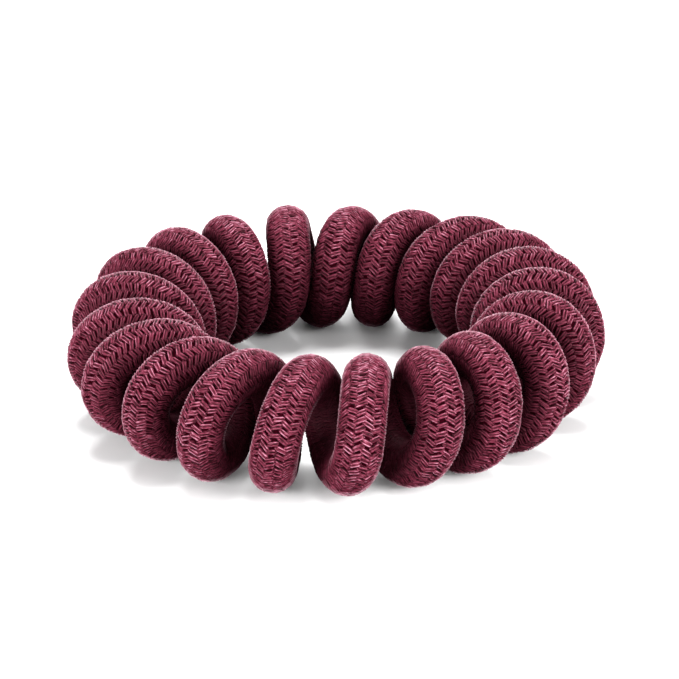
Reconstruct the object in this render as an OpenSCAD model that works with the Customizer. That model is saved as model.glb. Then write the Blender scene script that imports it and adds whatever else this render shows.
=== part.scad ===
// Spiral hair tie: one covered cord wound into a coil, and the coil closed into a ring.
// It lies flat, with the ring's axis upright and every turn on the surface.

/* [Ring] */
// Outer diameter of the tie as it lies
ring_d = 55; // [48:1:65]
// Place of the first turn round the ring, in degrees from the right-hand side
first_turn_deg = 101; // [0:1:359]

/* [Coil] */
// Height of the coil as it lies
coil_h = 13.3; // [12:0.1:15]
// Width of the coil from the ring's outer side to its hole
coil_w = 13.9; // [12:0.1:15]
// Number of turns of cord round the ring
turns = 21; // [17:1:24]
// Winding hand: 1 rises on the outside when followed counter-clockwise from above
winding = 1; // [-1, 1]
// How far the turns stray from an even spacing, where 0 is a perfectly even coil
looseness = 1; // [0:0.1:1.4]

/* [Cord] */
// Diameter of the covered cord
cord_d = 4.6; // [3.6:0.1:5.2]
// Smallest gap between neighbouring turns, where they crowd on the ring's inside
turn_gap = 0.1; // [0.05:0.05:0.4]

/* [Hidden] */

// How fine the swept surface is
CORD_SIDES = 12;
RINGS_PER_TURN = 20;

cord_r = cord_d / 2;
// Radii of the helix that the cord's middle follows, outwards and upwards
helix_out = coil_w / 2 - cord_r;
helix_up = coil_h / 2 - cord_r;
// Radius of the circle in the middle of the coil
ring_r = (ring_d - coil_w) / 2;
turn_deg = 360 / turns;
ring_count = turns * RINGS_PER_TURN;

// How each turn strays on the ring's outer side, counter-clockwise from the first turn, as
// read off the photo in rough steps.
// shift is sideways as a share of the turn spacing, reach is outwards as a share of the
// helix's radius, lift raises the upper side as a share of the coil's height, and lean tips
// the turn sideways at its top, as a share of the turn spacing. Every turn rests on the surface.
SHIFT = 0;
REACH = 1;
LIFT = 2;
LEAN = 3;
TURN_WAYS = [
    // shift, reach, lift, lean
    // back, towards the left
    [-0.02, -0.05, 0, -0.04],
    [0.06, -0.05, 0.02, 0],
    [0.04, 0.1, 0.06, 0],
    [0.02, 0.2, 0.06, -0.02],
    // left side
    [0, 0.1, 0.04, -0.04],
    [0, 0.05, 0, 0],
    [-0.04, 0.05, 0, -0.04],
    [-0.04, -0.05, 0, -0.04],
    // front
    [0, 0.1, 0, -0.06],
    [0.02, 0.05, 0, -0.02],
    [0.06, 0.1, -0.02, -0.06],
    [0.12, -0.1, -0.04, 0],
    [0, -0.05, 0, -0.02],
    // right side
    [0, -0.1, 0, 0],
    [0.14, -0.2, 0, -0.1],
    [0.08, -0.1, 0, 0],
    [0, 0, 0, 0],
    [-0.06, 0.1, 0, -0.06],
    // back, from the right
    [-0.16, 0.05, 0, -0.22],
    [-0.1, -0.05, -0.06, -0.12],
    [-0.08, -0.05, -0.06, -0.08]
];

// Each place along the cord is its angle round the coil, in degrees: 0 is the outermost
// point of the first turn, 360 that of the next one, and so on round the ring.
function turn_index(a) = (round(a / 360) + turns) % turns % len(TURN_WAYS);
// 1 on the ring's outer side and 0 on its inside, where the turns hold each other in line
function freedom(a) = looseness * (1 + cos(a)) / 2;
function way(a, column) = freedom(a) * TURN_WAYS[turn_index(a)][column];

function cord_deg(a) =
    first_turn_deg
    + winding * turn_deg * (a / 360 + way(a, SHIFT) + way(a, LEAN) * sin(a));
function cord_out(a) = ring_r + helix_out * (1 + way(a, REACH)) * cos(a);
function cord_middle(a) = [
    cord_out(a) * cos(cord_deg(a)),
    cord_out(a) * sin(cord_deg(a)),
    helix_up * sin(a) + coil_h * way(a, LIFT) * (1 + sin(a)) / 2
];

function unit(v) = v / norm(v);
// Direction of the cord, from the places a little before and after
STEP_DEG = 0.5;
function along(a) = unit(cord_middle(a + STEP_DEG) - cord_middle(a - STEP_DEG));
// Direction away from the middle of the coil, square to the cord
function away(a) =
    let (
        t = along(a),
        d = [cos(a) * cos(cord_deg(a)), cos(a) * sin(cord_deg(a)), sin(a)]
    )
    unit(d - (d * t) * t);

// Half the room that the cord has to the turn before and to the turn after it
function half_way(a, b) = norm(cross(along(a), cord_middle(b) - cord_middle(a))) / 2;
function half_room(a) = min(half_way(a, a - 360), half_way(a, a + 360));
// The cord is round, and pressed thinner only where its neighbours leave too little room
function cord_half_width(a) = min(cord_r, half_room(a) - turn_gap / 2);

function cord_ring(a) =
    let (
        m = cord_middle(a),
        n = away(a) * cord_r,
        s = cross(along(a), away(a)) * cord_half_width(a)
    )
    [for (i = [0:CORD_SIDES - 1]) m + n * cos(360 * i / CORD_SIDES) + s * sin(360 * i / CORD_SIDES)];

cord_points = [
    for (k = [0:ring_count - 1])
        each cord_ring(360 * k / RINGS_PER_TURN)
];
lowest = [for (axis = [0:2]) min([for (p = cord_points) p[axis]])];
highest = [for (axis = [0:2]) max([for (p = cord_points) p[axis]])];
// Sets the tie on the surface, with the middle of its outline over the origin
seat = [-(lowest[0] + highest[0]) / 2, -(lowest[1] + highest[1]) / 2, -lowest[2]];

function corner(k, i) = (k % ring_count) * CORD_SIDES + i % CORD_SIDES;
// Two triangles for each small patch of the surface
cord_faces = [
    for (k = [0:ring_count - 1], i = [0:CORD_SIDES - 1], half = [0, 1])
        half == 0
            ? [corner(k, i), corner(k + 1, i), corner(k + 1, i + 1)]
            : [corner(k, i), corner(k + 1, i + 1), corner(k, i + 1)]
];

// The cord with its woven cover, in one closed loop with no end or joint that shows
module covered_cord() {
    color([0.42, 0.12, 0.2])
        translate(seat)
            polyhedron(points = cord_points, faces = cord_faces);
}

covered_cord();
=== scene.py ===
# %% [markdown]
# A spiral hair tie, dressed step by step.
# The real tie is one springy cord, wound into an open coil and closed into a ring.
# A braided sleeve of matt burgundy yarn covers the cord, and the sleeve is all that shows.
# The imported solid gives the size and the place, so it is loaded first and its box is kept to print
# again at the end.

# %% Load the imported tie
import math

import bpy
import numpy as np
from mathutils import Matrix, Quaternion, Vector


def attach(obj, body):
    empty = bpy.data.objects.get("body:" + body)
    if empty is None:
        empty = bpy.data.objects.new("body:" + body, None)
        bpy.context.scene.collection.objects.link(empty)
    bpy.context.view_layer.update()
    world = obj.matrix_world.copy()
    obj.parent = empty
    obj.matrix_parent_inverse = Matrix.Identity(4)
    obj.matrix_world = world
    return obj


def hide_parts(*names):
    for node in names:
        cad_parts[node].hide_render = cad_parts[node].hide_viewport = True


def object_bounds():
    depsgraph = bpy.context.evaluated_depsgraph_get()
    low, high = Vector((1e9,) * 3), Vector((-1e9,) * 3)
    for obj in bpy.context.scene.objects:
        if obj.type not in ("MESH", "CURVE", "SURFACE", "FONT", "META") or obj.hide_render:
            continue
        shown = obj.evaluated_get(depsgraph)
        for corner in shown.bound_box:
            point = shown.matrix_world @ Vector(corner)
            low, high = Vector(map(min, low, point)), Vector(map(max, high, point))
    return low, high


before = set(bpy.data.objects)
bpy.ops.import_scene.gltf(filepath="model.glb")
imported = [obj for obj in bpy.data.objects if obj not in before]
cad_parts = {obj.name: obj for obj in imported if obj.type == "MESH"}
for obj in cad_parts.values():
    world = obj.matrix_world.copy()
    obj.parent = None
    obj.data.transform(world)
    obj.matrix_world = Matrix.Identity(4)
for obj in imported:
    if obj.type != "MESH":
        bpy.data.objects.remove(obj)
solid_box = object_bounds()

print("nodes", sorted(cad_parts), "box", [tuple(round(c, 5) for c in p) for p in solid_box])

# %% [markdown]
# The sizes are the real ones, in millimetres, turned into metres once.
# They are the same as those of the solid: a ring of twenty-one turns whose cord is 4.6 mm thick.
# They could be read off the solid by eye, but named sizes keep the two models alike and easy
# to change together.

# %% Sizes of the tie
MM = 0.001
RING_D = 55 * MM
COIL_H = 13.3 * MM
COIL_W = 13.9 * MM
CORD_D = 4.6 * MM
TURN_GAP = 0.1 * MM
TURNS = 21
FIRST_TURN = math.radians(101)
FULL_TURN = 2 * math.pi
CORD_R = CORD_D / 2
HELIX_OUT = COIL_W / 2 - CORD_R
HELIX_UP = COIL_H / 2 - CORD_R
RING_R = (RING_D - COIL_W) / 2
TURN_ANGLE = FULL_TURN / TURNS
print(f"helix {HELIX_OUT / MM:.2f} mm out, {HELIX_UP / MM:.2f} mm up, ring {RING_R / MM:.2f} mm")

# %% [markdown]
# A coil that has been handled is never even, although every turn still rests on the floor.
# The short table says how each turn strays from an even spacing: sideways, outwards, upwards at
# its top, and how far it leans, as shares of the sizes above.
# Chance could do this too, but the photo shows which turns lie close and which lean. So the numbers
# were fitted by a program to the outlines of the turns in the photo, and rounded to coarse steps.

# %% How each turn strays
SHIFT, REACH, LIFT, LEAN = range(4)
TURN_WAYS = np.array(
    [
        # shift, reach, lift, lean
        # back, towards the left
        (-0.02, -0.05, 0, -0.04),
        (0.06, -0.05, 0.02, 0),
        (0.04, 0.1, 0.06, 0),
        (0.02, 0.2, 0.06, -0.02),
        # left side
        (0, 0.1, 0.04, -0.04),
        (0, 0.05, 0, 0),
        (-0.04, 0.05, 0, -0.04),
        (-0.04, -0.05, 0, -0.04),
        # front
        (0, 0.1, 0, -0.06),
        (0.02, 0.05, 0, -0.02),
        (0.06, 0.1, -0.02, -0.06),
        (0.12, -0.1, -0.04, 0),
        (0, -0.05, 0, -0.02),
        # right side
        (0, -0.1, 0, 0),
        (0.14, -0.2, 0, -0.1),
        (0.08, -0.1, 0, 0),
        (0, 0, 0, 0),
        (-0.06, 0.1, 0, -0.06),
        # back, from the right
        (-0.16, 0.05, 0, -0.22),
        (-0.1, -0.05, -0.06, -0.12),
        (-0.08, -0.05, -0.06, -0.08),
    ]
)
print("turns", len(TURN_WAYS), "most they stray", abs(TURN_WAYS).max(axis=0))

# %% [markdown]
# The middle of the cord follows a helix that is bent round into a ring.
# A curve object could carry it, but a formula closes on itself exactly and can be asked for any
# place on the cord. One whole turn of the coil is one full turn of the angle.
# The turns are free to stray on the ring's outer side and hold each other in line on its inside.

# %% The path of the cord
SAMPLES_PER_TURN = 240


def way(angle, column):
    """One column of the table: full on the outer side of a turn, nothing on its inner side."""
    turn = (np.rint(angle / FULL_TURN).astype(int) + TURNS) % TURNS
    return (1 + np.cos(angle)) / 2 * TURN_WAYS[turn, column]


def bearing(angle):
    """The direction seen from the middle of the ring."""
    stray = way(angle, SHIFT) + way(angle, LEAN) * np.sin(angle)
    return FIRST_TURN + TURN_ANGLE * (angle / FULL_TURN + stray)


def cord_middle(angle):
    out = RING_R + HELIX_OUT * (1 + way(angle, REACH)) * np.cos(angle)
    up = HELIX_UP * np.sin(angle) + COIL_H * way(angle, LIFT) * (1 + np.sin(angle)) / 2
    return np.stack([out * np.cos(bearing(angle)), out * np.sin(bearing(angle)), up], -1)


angles = np.linspace(0, TURNS * FULL_TURN, TURNS * SAMPLES_PER_TURN + 1)
middles = cord_middle(angles)
print("places on the path", len(middles))

# %% [markdown]
# The sleeve needs three directions at every place: along the cord, away from the middle of the
# coil, and sideways to the next turn. It also needs the room there is between two turns.
# Where turns lie close, the soft cord presses flat against its neighbour, so its half width is
# never more than half the way to the next turn.

# %% Directions and room along the cord
SMALL_STEP = math.radians(0.5)


def unit(vectors):
    return vectors / np.linalg.norm(vectors, axis=-1, keepdims=True)


alongs = unit(cord_middle(angles + SMALL_STEP) - cord_middle(angles - SMALL_STEP))
bearings = bearing(angles)
outwards = np.cos(angles)
spokes = np.stack([outwards * np.cos(bearings), outwards * np.sin(bearings), np.sin(angles)], -1)
aways = unit(spokes - (spokes * alongs).sum(-1, keepdims=True) * alongs)
sides = np.cross(alongs, aways)
rooms = [
    np.linalg.norm(np.cross(alongs, cord_middle(angles + turn) - middles), axis=-1) / 2
    for turn in (-FULL_TURN, FULL_TURN)
]
half_rooms = np.minimum(*rooms)
half_widths = np.minimum(CORD_R, half_rooms - TURN_GAP / 2)
print(f"least half room {half_rooms.min() / MM:.3f} mm, least half width {half_widths.min() / MM:.3f} mm")

# %% [markdown]
# The path is moved so that the round cord stands on the floor, round the middle of the solid.
# The object could be moved instead, but then it wouldn't stay at the origin, as the frame asks.
# The lengths along the path are what a tape laid on the cord would read.

# %% Seat the cord on the floor
reach = CORD_R * np.sqrt(1 - alongs**2)
low, high = (middles - reach).min(0), (middles + reach).max(0)
solid_low, solid_high = np.array(solid_box[0]), np.array(solid_box[1])
seat = (solid_low + solid_high) / 2 - (low + high) / 2
seat[2] = solid_low[2] - low[2]
middles += seat
steps = np.linalg.norm(np.diff(middles, axis=0), axis=1)
lengths = np.concatenate([[0], np.cumsum(steps)])
CORD_LENGTH = lengths[-1]
print(f"cord {CORD_LENGTH / MM:.1f} mm long, seat {np.round(seat / MM, 3)} mm")

# %% [markdown]
# Everything on the cord is made straight and flat first, as a braider makes sleeving:
# x runs round the cord, y along it, and z is the height over the surface under the braid.
# One function then lays such a flat piece on the cord, point by point.
# A Curve modifier could bend it too, but its frame twists where the helix climbs, and the
# two ends of the loop wouldn't meet.
# The cord bends sharply, so a row is half as long on the inner side of a turn as in the middle,
# and half as long again on the outer side. The yarn lies a little flatter where it is crowded.
# The columns of the braid drift round the cord on their way along it, as sleeving always twists
# a little, and they wander to and fro.

# %% Lay a flat piece on the cord
UNDER_R = 2.12 * MM
COLUMN_PAIRS = 8
DRIFT_PAIRS = 9
WANDER_ANGLE = 0.3
WANDERS_PER_LOOP = 4
CROWDED_RELIEF = 0.35


def at_length(table, along):
    """The value of a table at some length along the cord. The loop closes on itself."""
    spot = along % CORD_LENGTH
    if table.ndim == 1:
        return np.interp(spot, lengths, table)
    return np.stack([np.interp(spot, lengths, column) for column in table.T], -1)


def turn_round(across, along):
    """Angle round the cord, with the drift and the wander of the columns."""
    share = FULL_TURN * along / CORD_LENGTH
    wander = WANDER_ANGLE * np.sin(WANDERS_PER_LOOP * share)
    return across / UNDER_R + DRIFT_PAIRS / COLUMN_PAIRS * share + wander


def stretch_at(across, along):
    """How much longer the cord's surface is here than its middle."""
    return 1 + UNDER_R / HELIX_OUT * np.cos(turn_round(across, along))


def lay_on_cord(points):
    """Places on the cord for flat points, and the directions square to the smooth cord there."""
    across, along, height = points.T
    turn = turn_round(across, along)
    radius = (UNDER_R + height * stretch_at(across, along) ** CROWDED_RELIEF)[:, None]
    squeeze = (at_length(half_widths, along) / CORD_R)[:, None]
    away = unit(at_length(aways, along)) * np.cos(turn)[:, None]
    side = unit(at_length(sides, along)) * np.sin(turn)[:, None]
    return at_length(middles, along) + radius * (away + squeeze * side), unit(away + side)


inner_and_outer = 1 + UNDER_R / HELIX_OUT * np.array([-1, 1])
print("a row is", np.round(inner_and_outer, 2), "times as long on the inner and the outer side")

# %% [markdown]
# Under the top yarns lie the yarns that pass below them. They show only as dark slits, so one
# smooth tube stands for them. It could be a bevelled curve, but it is made as a short straight
# piece of tube, repeated along the whole cord, because it is then laid on the path by the same
# function as the braid and follows it exactly.
# Two small helpers stand for what the mouse does: one selects an object alone, and the other adds
# an Array modifier, sets it and applies it.

# %% A straight tube for the yarn under the braid
TUBE_SIDES = 20
TUBE_RINGS_PER_TURN = 44
TUBE_RINGS = TURNS * TUBE_RINGS_PER_TURN
ring_step = CORD_LENGTH / TUBE_RINGS


def only(piece):
    bpy.ops.object.select_all(action="DESELECT")
    piece.select_set(True)
    bpy.context.view_layer.objects.active = piece
    return piece


def repeat(piece, count, step):
    """Repeats a piece along a straight line and joins the copies."""
    only(piece)
    bpy.ops.object.modifier_add(type="ARRAY")
    array = piece.modifiers[-1]
    array.count = count
    array.use_relative_offset = False
    array.use_constant_offset = True
    array.constant_offset_displace = step
    bpy.ops.object.modifier_apply(modifier=array.name)


bpy.ops.object.select_all(action="DESELECT")
bpy.ops.mesh.primitive_cylinder_add(
    vertices=TUBE_SIDES,
    radius=UNDER_R,
    depth=ring_step,
    end_fill_type="NOTHING",
    rotation=(math.pi / 2, 0, 0),
)
under_cord = bpy.context.object
under_cord.name = under_cord.data.name = "yarn_under_braid"
bpy.ops.object.transform_apply(location=True, rotation=True, scale=True)
repeat(under_cord, TUBE_RINGS, (0, ring_step, 0))
print("straight tube", [round(side / MM, 2) for side in under_cord.dimensions], "mm")

# %% [markdown]
# The straight tube is now bent onto the path. Its angle round its own middle becomes the way
# round the cord, and its length the way along it.
# All points of a mesh are read and written at once, which is much faster than one by one.
# The copies touch end to end, and so do the two ends of the loop, so points in the same place are
# merged into one. Then the faces are turned outwards, which the light depends on.

# %% Bend the tube onto the cord
MERGE_WITHIN = 0.005 * MM


def points_of(mesh):
    flat = np.empty(len(mesh.vertices) * 3)
    mesh.vertices.foreach_get("co", flat)
    return flat.reshape(-1, 3)


def put_points(mesh, points):
    mesh.vertices.foreach_set("co", np.asarray(points, np.float32).ravel())
    mesh.update()


def triangles_in(piece):
    return sum(len(face.vertices) - 2 for face in piece.data.polygons)


tube = points_of(under_cord.data)
round_angle = np.arctan2(tube[:, 0], tube[:, 2])
flat_tube = np.stack([round_angle * UNDER_R, tube[:, 1], np.zeros(len(tube))], -1)
put_points(under_cord.data, lay_on_cord(flat_tube)[0])
only(under_cord)
bpy.ops.object.mode_set(mode="EDIT")
bpy.ops.mesh.select_all(action="SELECT")
bpy.ops.mesh.remove_doubles(threshold=MERGE_WITHIN)
bpy.ops.mesh.normals_make_consistent(inside=False)
bpy.ops.object.mode_set(mode="OBJECT")
bpy.ops.object.shade_smooth()
print("under cord", len(under_cord.data.vertices), "points", triangles_in(under_cord), "triangles")

# %% [markdown]
# The sleeve is a one-over-one braid of sixteen yarns, eight each way round.
# Where a yarn lies on top of another, the short stretch that shows is called a float.
# The floats stand in sixteen columns along the cord. They slant one way in one column and the
# other way in the next, half a row later, so that their ends interlock like a zip.
# The whole loop is made in seven stretches of three turns, so that no mesh grows too large.

# %% Sizes of the braid
COLUMNS = 2 * COLUMN_PAIRS
STRETCHES = 7
ROWS_PER_STRETCH = 160
ROW = CORD_LENGTH / (STRETCHES * ROWS_PER_STRETCH)
COLUMN = FULL_TURN * UNDER_R / COLUMNS
SLANT = math.atan2(ROW / 2, COLUMN)
HALF_LENGTH_IN_COLUMNS = 0.8
HALF_WIDTH_IN_ROWS = 0.54
FLOAT_HALF_LENGTH = HALF_LENGTH_IN_COLUMNS * COLUMN / math.cos(SLANT)
FLOAT_HALF_WIDTH = HALF_WIDTH_IN_ROWS * ROW * math.cos(SLANT)
FLOAT_HEIGHT = 0.28 * MM
print(f"row {ROW / MM:.3f} mm, column {COLUMN / MM:.3f} mm, slant {math.degrees(SLANT):.1f} degrees")

# %% [markdown]
# Each yarn is two ends of thread side by side, so a float is a plump grain with a groove down
# its back and narrow ends that dive under the next column. It starts as a small sphere with its
# poles at the ends, because a sphere's own map then runs along the yarn. It has four rings of
# points between the poles, and each ring has one point on the middle line of the back.
# Points are picked by their place, which holds however Blender numbers them.

# %% Round of one float, with its groove
ON_BACK = 0.2
NEAR_MIDDLE_LINE = 0.05
OFF_MIDDLE_LINE = 0.2
GROOVE = 0.58
RIDGE_WIDTH = 0.56
RIDGE_HEIGHT = 1.8
BELLY_WIDTH = 1.15
BELLY_HEIGHT = 0.6
KEEL_HEIGHT = 0.5
centre = {"center_override": (0, 0, 0)}


def on_middle_line(co):
    return abs(co.y) < NEAR_MIDDLE_LINE


def beside_it(co):
    return abs(co.y) > OFF_MIDDLE_LINE


def pick_points(piece, rule):
    """Selects the points whose place fits the rule, and leaves edit mode on."""
    bpy.ops.object.mode_set(mode="EDIT")
    bpy.ops.mesh.select_mode(type="VERT")
    bpy.ops.mesh.select_all(action="DESELECT")
    bpy.ops.object.mode_set(mode="OBJECT")
    for vertex in piece.data.vertices:
        vertex.select = bool(rule(vertex.co))
    bpy.ops.object.mode_set(mode="EDIT")


def reshape(piece, rule, scale):
    """Scales the points whose place fits the rule from the middle of the float."""
    pick_points(piece, rule)
    bpy.ops.transform.resize(value=scale, **centre)


bpy.ops.object.select_all(action="DESELECT")
bpy.ops.mesh.primitive_uv_sphere_add(segments=6, ring_count=5, radius=1)
one_float = bpy.context.object
one_float.name = "one_float"
bpy.ops.object.mode_set(mode="EDIT")
bpy.ops.mesh.select_all(action="SELECT")
bpy.ops.transform.rotate(value=math.pi / 2, orient_axis="Y", **centre)
bpy.ops.transform.rotate(value=math.pi / 6, orient_axis="X", **centre)
# The middle line of the back sinks to a groove between two ridges
reshape(one_float, lambda co: co.z > ON_BACK and on_middle_line(co), (1, 1, 1 - GROOVE))
reshape(one_float, lambda co: co.z > ON_BACK and beside_it(co), (1, RIDGE_WIDTH, RIDGE_HEIGHT))
# The belly is wide and flat, since it lies on the yarn below
reshape(one_float, lambda co: co.z < -ON_BACK and beside_it(co), (1, BELLY_WIDTH, BELLY_HEIGHT))
reshape(one_float, lambda co: co.z < -ON_BACK and on_middle_line(co), (1, 1, KEEL_HEIGHT))
bpy.ops.object.mode_set(mode="OBJECT")
print("float", len(one_float.data.vertices), "points", triangles_in(one_float), "triangles")

# %% [markdown]
# The float stays plump for most of its length, and then its ends dive under the next column.
# How high each point lies is stored before the ends dive, because the colours need it: the crown of the
# yarn gets a paler painted highlight, and its foot gets painted shade in a deep colour.
# The float is made in round numbers first and takes its real size and slant last.

# %% Ends of the float, and its real size
INNER_RINGS = (0.2, 0.4)
OUTER_RINGS = (0.7, 0.9)
TIPS = (0.95, 1.05)
BODY_LENGTH = 1.6
SHOULDER_SIZE = 1.2
SHOULDER_DIVE = -0.15
TIP_DIVE = -0.6


def rings_at(limits):
    """A rule that picks the points at this distance from the float's middle, towards both ends."""
    return lambda co: limits[0] < abs(co.x) < limits[1]


def add_point_values(mesh, name, values):
    layer = mesh.attributes.new(name, "FLOAT", "POINT")
    layer.data.foreach_set("value", np.asarray(values, np.float32).ravel())


reshape(one_float, rings_at(INNER_RINGS), (BODY_LENGTH, 1, 1))
reshape(one_float, rings_at(OUTER_RINGS), (1, SHOULDER_SIZE, SHOULDER_SIZE))
bpy.ops.object.mode_set(mode="OBJECT")
add_point_values(one_float.data, "crown", points_of(one_float.data)[:, 2])
pick_points(one_float, rings_at(OUTER_RINGS))
bpy.ops.transform.translate(value=(0, 0, SHOULDER_DIVE))
pick_points(one_float, rings_at(TIPS))
bpy.ops.transform.translate(value=(0, 0, TIP_DIVE))
bpy.ops.mesh.select_all(action="SELECT")
bpy.ops.transform.resize(value=(FLOAT_HALF_LENGTH, FLOAT_HALF_WIDTH, FLOAT_HEIGHT), **centre)
bpy.ops.transform.rotate(value=SLANT, orient_axis="Z", **centre)
bpy.ops.object.mode_set(mode="OBJECT")
bpy.ops.object.shade_smooth()
POINTS_PER_FLOAT = len(one_float.data.vertices)
print("float", np.round(np.ptp(points_of(one_float.data), axis=0) / MM, 2), "mm")

# %% [markdown]
# The float of the next column is the same one mirrored, one column further and half a row later.
# Mirroring turns a shape inside out, so its faces are flipped back.
# The pair is repeated round the cord, and then row by row along a stretch of three turns.
# Placing every float on its own would give the same, but it would take far longer.

# %% A flat stretch of braid
only(one_float)
bpy.ops.object.duplicate()
mirrored_float = bpy.context.object
bpy.ops.object.mode_set(mode="EDIT")
bpy.ops.mesh.select_all(action="SELECT")
bpy.ops.transform.resize(value=(-1, 1, 1), **centre)
bpy.ops.mesh.flip_normals()
bpy.ops.transform.translate(value=(COLUMN, ROW / 2, 0))
bpy.ops.object.mode_set(mode="OBJECT")
only(mirrored_float)
one_float.select_set(True)
bpy.context.view_layer.objects.active = one_float
bpy.ops.object.join()
flat_braid = only(one_float)
flat_braid.name = "flat_braid"
repeat(flat_braid, COLUMN_PAIRS, (2 * COLUMN, 0, 0))
repeat(flat_braid, ROWS_PER_STRETCH, (0, ROW, 0))
FLOATS = COLUMNS * ROWS_PER_STRETCH
print("flat stretch", FLOATS, "floats", triangles_in(flat_braid), "triangles")

# %% [markdown]
# Each of the sixteen yarns has its own slight tone from the dye, which follows the yarn round
# the cord: it moves one row with each pair of columns, up for one set of yarns and down for the
# other. Each float strays from its yarn's tone a little more.
# A noise texture could give tones as well, but it wouldn't keep to the edges of the floats.
# The chances are drawn from one seeded source, so each run gives the same tie.

# %% The tone of each float
YARN_TONES = 0.35
FLOAT_TONES = 0.35
ROWS_PER_KNOT = 8
KNOTS = STRETCHES * ROWS_PER_STRETCH // ROWS_PER_KNOT
chance = np.random.default_rng(21)
yarn_tones = chance.normal(0, YARN_TONES, (2, COLUMN_PAIRS))
crowding = chance.normal(0, 1, (2, COLUMNS, KNOTS))
number = np.arange(FLOATS)
row_of, column_of = number // COLUMNS, number % COLUMNS


def float_tones(first_row):
    set_of = column_of % 2
    rows = row_of + first_row
    yarn = np.where(set_of == 0, column_of // 2 - rows, column_of // 2 + rows) % COLUMN_PAIRS
    return yarn_tones[set_of, yarn] + chance.normal(0, FLOAT_TONES, FLOATS)


print("yarn tones", np.round(yarn_tones, 2).tolist())

# %% [markdown]
# No two floats of a real braid are quite alike. Each one is shifted, turned, raised and sized a
# little by chance, and whole columns crowd and spread slowly along the cord.
# Yarn keeps its thickness when the cord bends. On the outer side of a turn the rows spread and
# dark gaps open between the floats, and on the inner side they press together.
# All this is done while the stretch is still flat, where a float's middle is easy to find.

# %% Give every float its own shape
GAP_OPENING = 0.18
WIDEST = 1.05
COLUMN_SWAY, FLOAT_SWAY = 0.05, 0.02
ROW_SWAY, FLOAT_LAG = 0.08, 0.04
LENGTH_CHANCE = 0.05
WIDTH_CHANCE = 0.06
TILT, TILT_CHANCE = 0.9, 0.16
HEIGHT_CHANCE = 0.018 * MM
ACROSS, ALONG = 0, 1


def slow_shift(kind, first_row):
    """A value for every float that changes slowly along its column, and closes round the loop."""
    knots = np.arange(KNOTS + 1) * ROWS_PER_KNOT
    values = np.zeros(FLOATS)
    for column in range(COLUMNS):
        table = np.append(crowding[kind, column], crowding[kind, column, 0])
        mine = column_of == column
        values[mine] = np.interp(row_of[mine] + first_row, knots, table)
    return values[:, None]


def vary(points, first_row):
    """Gives every float of a flat stretch its own width, slant and place."""
    centre_across = (column_of * COLUMN)[:, None]
    centre_along = (row_of * ROW + column_of % 2 * ROW / 2)[:, None]
    slope = np.where(column_of % 2 == 0, 1, -1)[:, None] * ROW / 2 / COLUMN
    off_across = points[:, :, 0] - centre_across
    off_row = points[:, :, 1] - centre_along - slope * off_across
    along = centre_along + first_row * ROW
    width = np.minimum(stretch_at(centre_across, along) ** -GAP_OPENING, WIDEST)
    sway, lag, longer, tilt, wider, higher = chance.normal(0, 1, (6, FLOATS, 1))
    shift_across = COLUMN_SWAY * slow_shift(ACROSS, first_row) + FLOAT_SWAY * sway
    shift_along = ROW_SWAY * slow_shift(ALONG, first_row) + FLOAT_LAG * lag
    tilted = slope * off_across * (TILT + TILT_CHANCE * tilt)
    widened = off_row * width * (1 + WIDTH_CHANCE * wider)
    varied = np.empty_like(points)
    varied[:, :, 0] = centre_across + off_across * (1 + LENGTH_CHANCE * longer) + COLUMN * shift_across
    varied[:, :, 1] = along + widened + tilted + ROW * shift_along
    varied[:, :, 2] = points[:, :, 2] + HEIGHT_CHANCE * higher
    return varied.reshape(-1, 3)


print("knots along a column", KNOTS, "one every", ROWS_PER_KNOT, "rows")

# %% [markdown]
# The yarn on the inside of the coil, beside a close turn and low on the ring's inner side gets little
# light, and it is nearly black in the photo. That shade is painted into the yarn's colour: how sheltered
# each point is follows from its place on the cord and is stored with the mesh for the colours.
# Ambient occlusion in the shader could find such places, but it is slow and can't be exported.

# %% Painted shade where the yarn is sheltered
INNER_POWER = 1.3
CROWD_SHARE = 0.7


def painted_shade_at(points):
    """How much painted shade a place on the cord gets, from 0 to 1, where the coil's inside and the next
    turns hide it from light.
    """
    across, along = points[:, 0], points[:, 1]
    turn = turn_round(across, along)
    inner = (1 - np.cos(turn)) / 2
    crowd = (CORD_R / at_length(half_rooms, along)) ** 2 * np.sin(turn) ** 2
    winding = at_length(angles, along)
    well = (1 - np.cos(winding)) / 2 * (1 - np.sin(winding)) / 2
    return np.clip(inner**INNER_POWER + CROWD_SHARE * crowd + well, 0, 1)


round_cord = np.linspace(0, FULL_TURN * UNDER_R, COLUMNS)
round_sample = np.stack([round_cord, np.zeros(COLUMNS), np.zeros(COLUMNS)], -1)
print("shelter round the cord's start", np.round(painted_shade_at(round_sample), 2))

# %% [markdown]
# Each stretch is a copy of the flat one with its own chances, laid on its part of the cord.
# The direction square to the smooth cord is stored too, because the soft sheen at the cord's
# edges depends on the cord and not on the single float.
# The sphere's own map becomes the yarn map. Each float also gets its own cell of a second map,
# so that its colours can be stored apart from those of the other floats.

# %% Lay the stretches on the cord
CELL_MARGIN = 0.06
grid = math.ceil(math.sqrt(FLOATS))


def add_cell_map(mesh):
    """Gives every float its own square of a map, with its own yarn map inside it."""
    flat = np.empty(len(mesh.loops) * 2)
    mesh.uv_layers[0].uv.foreach_get("vector", flat)
    yarn = np.clip(flat.reshape(-1, 2), 0, 1)
    cell = np.repeat(np.stack([number % grid, number // grid], -1), len(mesh.loops) // FLOATS, axis=0)
    places = (cell + CELL_MARGIN + (1 - 2 * CELL_MARGIN) * yarn) / grid
    layer = mesh.uv_layers.new(name="OFBake")
    layer.uv.foreach_set("vector", places.astype(np.float32).ravel())


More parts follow.
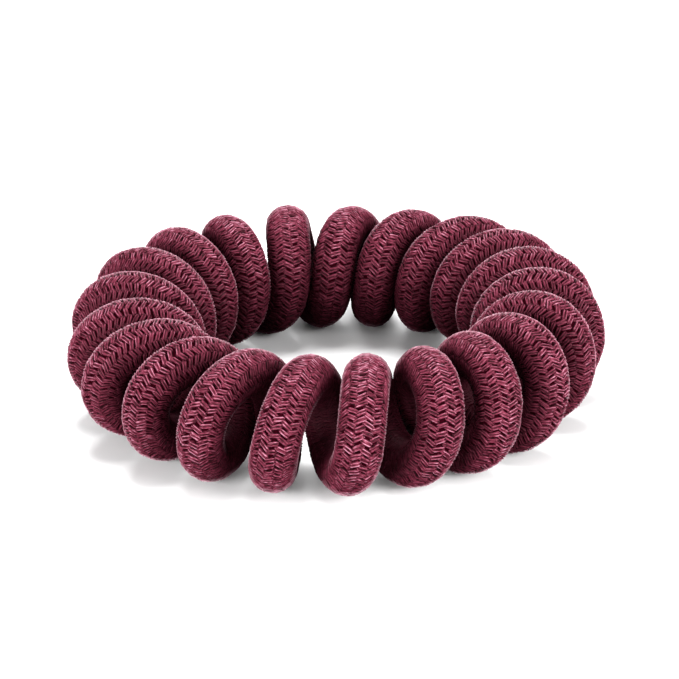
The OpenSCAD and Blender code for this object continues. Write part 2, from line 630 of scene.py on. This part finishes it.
def cover_stretch(index):
    only(flat_braid)
    bpy.ops.object.duplicate()
    piece = bpy.context.object
    piece.name = piece.data.name = f"braid_stretch_{index + 1}"
    mesh = piece.data
    first_row = index * ROWS_PER_STRETCH
    flat = points_of(mesh).reshape(FLOATS, POINTS_PER_FLOAT, 3)
    add_point_values(mesh, "tone", np.repeat(float_tones(first_row), POINTS_PER_FLOAT))
    varied = vary(flat, first_row)
    # the painted shade of every point is stored for the colours
    add_point_values(mesh, "painted_shade", painted_shade_at(varied))
    places, normals = lay_on_cord(varied)
    put_points(mesh, places)
    layer = mesh.attributes.new("cord_normal", "FLOAT_VECTOR", "POINT")
    layer.data.foreach_set("vector", normals.astype(np.float32).ravel())
    mesh.uv_layers[0].name = "YarnMap"
    add_cell_map(mesh)
    mesh.uv_layers.active = mesh.uv_layers["YarnMap"]
    return piece


stretches = [cover_stretch(index) for index in range(STRETCHES)]
bpy.data.objects.remove(flat_braid)
print("braid", len(stretches), "stretches", sum(triangles_in(piece) for piece in stretches), "triangles")

# %% [markdown]
# Matt dyed yarn is many fine filaments side by side, and they catch the light as short faint
# lines along each float. Both yarns of the cord have them, so they are made once, in a group of
# shader nodes that both materials share, each with its own colours.
# The group takes the yarn's map and the values stored on the mesh, and it gives a colour, a
# roughness and a height.

# %% Shared effect: inputs and outputs of the group
NUMBER, VECTOR, COLOUR = "NodeSocketFloat", "NodeSocketVector", "NodeSocketColor"
GROUP_INPUTS = (
    ("Yarn Map", VECTOR),
    ("Tone", NUMBER),
    ("Crown", NUMBER),
    ("Painted Shade", NUMBER),
    ("Painted Shade Colour", COLOUR),
    ("Yarn Colour", COLOUR),
    ("Painted Highlight Colour", COLOUR),
    ("Filaments", NUMBER),
)
GROUP_OUTPUTS = (("Colour", COLOUR), ("Roughness", NUMBER), ("Height", NUMBER))
filaments = bpy.data.node_groups.new("yarn_filaments", "ShaderNodeTree")
for name, kind in GROUP_INPUTS:
    filaments.interface.new_socket(name=name, in_out="INPUT", socket_type=kind)
for name, kind in GROUP_OUTPUTS:
    filaments.interface.new_socket(name=name, in_out="OUTPUT", socket_type=kind)
given = filaments.nodes.new("NodeGroupInput").outputs
results = filaments.nodes.new("NodeGroupOutput").inputs
print("group", filaments.name, [item.name for item in filaments.interface.items_tree])

# %% [markdown]
# A picture of yarn could be wrapped round the cord, but noise drawn out along the yarn's own map
# stays sharp at any distance and follows every float. It is fine across the yarn and slower
# along it, with a slight twist, and the float's tone moves it on, so no two floats look alike.
# Each helper adds one kind of node and connects it, as would be done by hand in the editor.

# %% Shared effect: noise along the yarn
TWIST = 0.12
SPECKS_ALONG = 6.0
TONE_TO_PLACE = 37.0
STRAND_DETAIL, STRAND_ROUGHNESS = 2.0, 0.6


def feed(tree, value, target):
    """Gives an input a number or a colour, or connects it to another node's output."""
    if isinstance(value, bpy.types.NodeSocket):
        tree.links.new(value, target)
    else:
        target.default_value = value


def add_math(tree, kind, first, second, clamp=False):
    node = tree.nodes.new("ShaderNodeMath")
    node.operation = kind
    node.use_clamp = clamp
    feed(tree, first, node.inputs[0])
    feed(tree, second, node.inputs[1])
    return node.outputs[0]


def add_noise(tree, place, scale, detail, roughness):
    node = tree.nodes.new("ShaderNodeTexNoise")
    feed(tree, place, node.inputs["Vector"])
    feed(tree, scale, node.inputs["Scale"])
    feed(tree, detail, node.inputs["Detail"])
    feed(tree, roughness, node.inputs["Roughness"])
    return node.outputs[0]


split = filaments.nodes.new("ShaderNodeSeparateXYZ")
feed(filaments, given["Yarn Map"], split.inputs[0])
across, along = split.outputs[0], split.outputs[1]
twisted = add_math(filaments, "ADD", across, add_math(filaments, "MULTIPLY", along, TWIST))
place = filaments.nodes.new("ShaderNodeCombineXYZ")
feed(filaments, add_math(filaments, "MULTIPLY", twisted, given["Filaments"]), place.inputs[0])
feed(filaments, add_math(filaments, "MULTIPLY", along, SPECKS_ALONG), place.inputs[1])
feed(filaments, add_math(filaments, "MULTIPLY", given["Tone"], TONE_TO_PLACE), place.inputs[2])
strands = add_noise(filaments, place.outputs[0], 1.0, STRAND_DETAIL, STRAND_ROUGHNESS)
print("nodes for the noise", len(filaments.nodes))

# %% [markdown]
# How far a place shows the full yarn colour is one share, put together from the height on the
# crown, the filaments, the float's tone and a slow mottling over the whole tie.
# Sheltered yarn gets painted shade, so its share is made smaller at the end.

# %% Shared effect: how much of the yarn's colour shows
CROWN_POWER = 2.6
STRAND_MIDDLE, STRAND_SHARE = 0.52, 2.0
TONE_SHARE = 0.1
MOTTLE_SCALE, MOTTLE_DETAIL, MOTTLE_ROUGHNESS = 350.0, 3.0, 0.5
MOTTLE_MIDDLE, MOTTLE_SHARE = 0.5, 0.15
PAINTED_SHADE_SHARE = 0.85


def spread(tree, value, middle, share):
    """The value's distance from its middle, times a share."""
    return add_math(tree, "MULTIPLY", add_math(tree, "SUBTRACT", value, middle), share)


spot = filaments.nodes.new("ShaderNodeTexCoord").outputs["Object"]
mottle = add_noise(filaments, spot, MOTTLE_SCALE, MOTTLE_DETAIL, MOTTLE_ROUGHNESS)
# painted shade: the low foot of each float gets a small share and so a dark colour
crown = add_math(filaments, "POWER", add_math(filaments, "MAXIMUM", given["Crown"], 0.0), CROWN_POWER)
lit = add_math(filaments, "ADD", crown, spread(filaments, strands, STRAND_MIDDLE, STRAND_SHARE))
lit = add_math(filaments, "ADD", lit, add_math(filaments, "MULTIPLY", given["Tone"], TONE_SHARE))
lit = add_math(filaments, "ADD", lit, spread(filaments, mottle, MOTTLE_MIDDLE, MOTTLE_SHARE), clamp=True)
# painted shade: sheltered places are darkened in the yarn's colour
painted_shade_part = add_math(filaments, "MULTIPLY", given["Painted Shade"], PAINTED_SHADE_SHARE)
lit = add_math(filaments, "MULTIPLY", lit, add_math(filaments, "SUBTRACT", 1.0, painted_shade_part))
print("nodes for the share", len(filaments.nodes))

# %% [markdown]
# The share runs from the painted shade colour to the full one, and the very crests get a paler painted
# highlight.
# A colour ramp could do both, but two plain mixes keep the three colours as inputs of the group.
# The filaments also change the gloss a little, and their height goes to a fine bump.

# %% Shared effect: colour, roughness and height
HIGHLIGHT_FROM, HIGHLIGHT_SHARE = 0.45, 1.2
DULLEST, STRAND_GLOSS = 0.9, 0.7


def add_mix(tree, share, first, second):
    node = tree.nodes.new("ShaderNodeMix")
    node.data_type = "RGBA"
    feed(tree, share, node.inputs["Factor"])
    feed(tree, first, node.inputs["A"])
    feed(tree, second, node.inputs["B"])
    return node.outputs["Result"]


# the share mixes from the painted shade colour to the full yarn colour
yarn = add_mix(filaments, lit, given["Painted Shade Colour"], given["Yarn Colour"])
# painted highlight: the highest shares are mixed towards a paler rose
above = add_math(filaments, "MAXIMUM", add_math(filaments, "SUBTRACT", lit, HIGHLIGHT_FROM), 0.0)
painted_highlight = add_math(filaments, "MULTIPLY", above, HIGHLIGHT_SHARE)
gloss = add_math(filaments, "MULTIPLY", strands, STRAND_GLOSS)
feed(filaments, add_mix(filaments, painted_highlight, yarn, given["Painted Highlight Colour"]), results["Colour"])
feed(filaments, add_math(filaments, "SUBTRACT", DULLEST, gloss), results["Roughness"])
feed(filaments, strands, results["Height"])
print("nodes in the group", len(filaments.nodes), "links", len(filaments.links))

# %% [markdown]
# Fine fuzz on the yarn shows as a soft pale line where the cord turns away from the eye, and not
# in sheltered places. The shader's sheen is made for this. Left to itself it would light the
# edge of every float, so its weight follows the stored direction of the smooth cord instead.

# %% Sheen at the edges of the cord
EDGE_BLEND = 0.5
EDGE_FROM, EDGE_TO = 0.72, 0.95
HIDDEN_FROM, HIDDEN_TO = 0.6, 1.0


def read_value(tree, name, output):
    node = tree.nodes.new("ShaderNodeAttribute")
    node.attribute_name = name
    return node.outputs[output]


def add_range(tree, value, start, end, first, last):
    """Turns a value between start and end into one between first and last."""
    node = tree.nodes.new("ShaderNodeMapRange")
    feed(tree, value, node.inputs["Value"])
    feed(tree, start, node.inputs["From Min"])
    feed(tree, end, node.inputs["From Max"])
    feed(tree, first, node.inputs["To Min"])
    feed(tree, last, node.inputs["To Max"])
    return node.outputs["Result"]


def edge_sheen(tree, strongest):
    edge = tree.nodes.new("ShaderNodeLayerWeight")
    feed(tree, EDGE_BLEND, edge.inputs["Blend"])
    feed(tree, read_value(tree, "cord_normal", "Vector"), edge.inputs["Normal"])
    turned = add_range(tree, edge.outputs["Facing"], EDGE_FROM, EDGE_TO, 0.0, 1.0)
    painted_shade = read_value(tree, "painted_shade", "Fac")
    in_the_open = add_range(tree, painted_shade, HIDDEN_FROM, HIDDEN_TO, strongest, 0.0)
    return add_math(tree, "MULTIPLY", turned, in_the_open)


print("sheen from", EDGE_FROM, "to", EDGE_TO, "of the way to the cord's edge")

# %% [markdown]
# The braid's yarn and the darker yarn under it are the same stuff in more or less light, so one
# function makes both materials. Matt yarn has hardly any mirror-like gloss.
# The top yarn runs from a deep burgundy painted shade at its foot, over the full colour, to a paler rose
# painted highlight on the crests. The yarn below has a darker colour painted on throughout, as painted
# shade, since little light reaches it, and it has more filaments to its map, because that map covers the
# whole cord and not one float.

# %% Materials
SHEEN_ROUGHNESS = 0.5
SHEEN_TINT = (1.0, 0.62, 0.72, 1)
RELIEF_HEIGHT = 0.02 * MM
BRAID_LOOK = {
    "Painted Shade Colour": (0.014, 0.0007, 0.0024, 1),
    "Yarn Colour": (0.325, 0.051, 0.096, 1),
    "Painted Highlight Colour": (0.54, 0.33, 0.42, 1),
    "Filaments": 14.0,
}
# painted shade: the yarn under the braid gets a far darker colour than the same yarn on top
UNDER_LOOK = {
    "Painted Shade Colour": (0.016, 0.0006, 0.0024, 1),
    "Yarn Colour": (0.04, 0.002, 0.006, 1),
    "Painted Highlight Colour": (0.04, 0.002, 0.006, 1),
    "Filaments": 60.0,
}


def yarn_material(name, look, bump, gloss, sheen):
    material = bpy.data.materials.new(name)
    material.use_nodes = True
    tree = material.node_tree
    shader = tree.nodes["Principled BSDF"].inputs
    effect = tree.nodes.new("ShaderNodeGroup")
    effect.node_tree = filaments
    for setting, value in look.items():
        feed(tree, value, effect.inputs[setting])
    yarn_map = tree.nodes.new("ShaderNodeUVMap")
    yarn_map.uv_map = "YarnMap"
    feed(tree, yarn_map.outputs[0], effect.inputs["Yarn Map"])
    for stored, target in (("tone", "Tone"), ("crown", "Crown"), ("painted_shade", "Painted Shade")):
        feed(tree, read_value(tree, stored, "Fac"), effect.inputs[target])
    feed(tree, effect.outputs["Colour"], shader["Base Color"])
    feed(tree, effect.outputs["Roughness"], shader["Roughness"])
    feed(tree, gloss, shader["Specular IOR Level"])
    feed(tree, SHEEN_ROUGHNESS, shader["Sheen Roughness"])
    feed(tree, SHEEN_TINT, shader["Sheen Tint"])
    if sheen:
        feed(tree, edge_sheen(tree, sheen), shader["Sheen Weight"])
    relief = tree.nodes.new("ShaderNodeBump")
    feed(tree, bump, relief.inputs["Strength"])
    feed(tree, RELIEF_HEIGHT, relief.inputs["Distance"])
    feed(tree, effect.outputs["Height"], relief.inputs["Height"])
    feed(tree, relief.outputs[0], shader["Normal"])
    return material


braid_yarn = yarn_material("burgundy_braid_yarn", BRAID_LOOK, bump=0.8, gloss=0.06, sheen=0.5)
under_yarn = yarn_material("burgundy_under_yarn", UNDER_LOOK, bump=0.6, gloss=0.0, sheen=0.0)
under_cord.data.uv_layers[0].name = "YarnMap"
under_cord.data.materials.clear()
under_cord.data.materials.append(under_yarn)
for piece in stretches:
    piece.data.materials.clear()
    piece.data.materials.append(braid_yarn)
print("materials", braid_yarn.name, under_yarn.name)

# %% [markdown]
# Every piece rides on the one body and stands for the one solid of the imported tie.
# Both kinds of yarn belong to the one woven cover.

# %% Join the pieces to the frame
for piece in [under_cord, *stretches]:
    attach(piece, "root")
    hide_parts("covered_cord")
print("pieces", [piece.name for piece in (under_cord, *stretches)])

# %% [markdown]
# The photo has a plain white ground. A wide pale matt floor gives that, and it holds the tie's
# shadow. In the photo almost no light comes back to the tie from below, so the floor is pale to
# the camera and dark to all other rays. A floor of one tone would light the inside of the coil.

# %% Floor
FLOOR_HALF = 4.0
FLOOR_FOR_LIGHT = (0.12, 0.12, 0.12, 1)
FLOOR_FOR_CAMERA = (0.9, 0.9, 0.9, 1)
FLOOR_ROUGHNESS = 0.9
bpy.ops.object.select_all(action="DESELECT")
bpy.ops.mesh.primitive_plane_add(size=2 * FLOOR_HALF, location=(0, 0, solid_low[2]))
floor = bpy.context.object
floor.name = "floor"
floor_paint = bpy.data.materials.new("pale_floor")
floor_paint.use_nodes = True
floor_tree = floor_paint.node_tree
floor_shader = floor_tree.nodes["Principled BSDF"]
camera_ray = floor_tree.nodes.new("ShaderNodeLightPath").outputs["Is Camera Ray"]
floor_tone = add_mix(floor_tree, camera_ray, FLOOR_FOR_LIGHT, FLOOR_FOR_CAMERA)
feed(floor_tree, floor_tone, floor_shader.inputs["Base Color"])
feed(floor_tree, FLOOR_ROUGHNESS, floor_shader.inputs["Roughness"])
floor.data.materials.append(floor_paint)
print("floor", 2 * FLOOR_HALF, "m wide at", round(solid_low[2] / MM, 3), "mm")

# %% [markdown]
# An even white light comes from all round. Low soft boxes stand at the left, at the right and in
# front, a higher one stands at the right, and one hangs above, a little behind the tie. They
# light the fronts of the turns and leave the inside of the coil dark.
# A wide weak one behind draws the pale rim on the upper edges.
# Sun or point lights would cut hard shadows between the turns, which the photo doesn't have.

# %% Light
SURROUNDING_LIGHT = 0.4
BOX_SIZE = 0.3
WIDE_BOX_SIZE = 0.5
world = bpy.data.worlds.new("studio")
world.use_nodes = True
background = world.node_tree.nodes["Background"]
background.inputs["Color"].default_value = (1, 1, 1, 1)
background.inputs["Strength"].default_value = SURROUNDING_LIGHT
bpy.context.scene.world = world
aim = Vector(seat)


def soft_box(name, place, size, power):
    bpy.ops.object.light_add(type="AREA", location=place)
    lamp = bpy.context.object
    lamp.name = name
    lamp.data.shape = "DISK"
    lamp.data.size = size
    lamp.data.energy = power
    lamp.rotation_mode = "QUATERNION"
    lamp.rotation_quaternion = (aim - Vector(place)).to_track_quat("-Z", "Y")
    return lamp


lamps = [
    soft_box("left_light", (-0.38, -0.38, 0.12), BOX_SIZE, 5.4),
    soft_box("right_light", (0.48, -0.26, 0.1), BOX_SIZE, 4.4),
    soft_box("right_high_light", (0.38, -0.34, 0.28), BOX_SIZE, 2.4),
    soft_box("front_light", (0.0, -0.54, 0.06), BOX_SIZE, 2.0),
    soft_box("top_light", (0.0, 0.15, 0.58), BOX_SIZE, 4.2),
    soft_box("rim_light", (0.0, 0.5, 0.22), WIDE_BOX_SIZE, 2.6),
]
print("lights", {lamp.name: round(lamp.data.energy, 1) for lamp in lamps})

# %% [markdown]
# The camera stands where the photo was taken from: about 23 degrees above the tie and 32 cm from
# it, tipped a little to one side. The lens is longer, so that the tie fills the frame.
# Moving closer would fill it too, but it would change how large the near turns look beside the
# far ones. The plain view transform keeps white white, as in the photo.

# %% Camera
VIEW_ABOVE = math.radians(23.5)
VIEW_ROLL = math.radians(-1.65)
VIEW_FAR = 321 * MM
PHOTO_FOCAL_PIXELS = 1572
PHOTO_SIDE_PIXELS = 679
ENLARGE = 2.0
SENSOR_SIDE = 36
bpy.ops.object.camera_add()
camera = bpy.context.object
camera.name = "camera"
back = Vector((0, -math.cos(VIEW_ABOVE), math.sin(VIEW_ABOVE)))
camera.location = aim + back * VIEW_FAR
camera.rotation_mode = "QUATERNION"
camera.rotation_quaternion = (-back).to_track_quat("-Z", "Y") @ Quaternion((0, 0, 1), VIEW_ROLL)
camera.data.sensor_width = SENSOR_SIDE
camera.data.lens = SENSOR_SIDE * PHOTO_FOCAL_PIXELS * ENLARGE / PHOTO_SIDE_PIXELS
camera.data.clip_start = 0.01
bpy.context.scene.camera = camera
bpy.context.scene.view_settings.view_transform = "Standard"
print("lens", round(camera.data.lens, 1), "mm")

# %% [markdown]
# Last, the box of the solid is printed.
# The floats stand a little proud of the smooth solid, by a tenth of a millimetre or so.

# %% Finish
print("solid", [round(c / MM, 2) for p in solid_box for c in p])
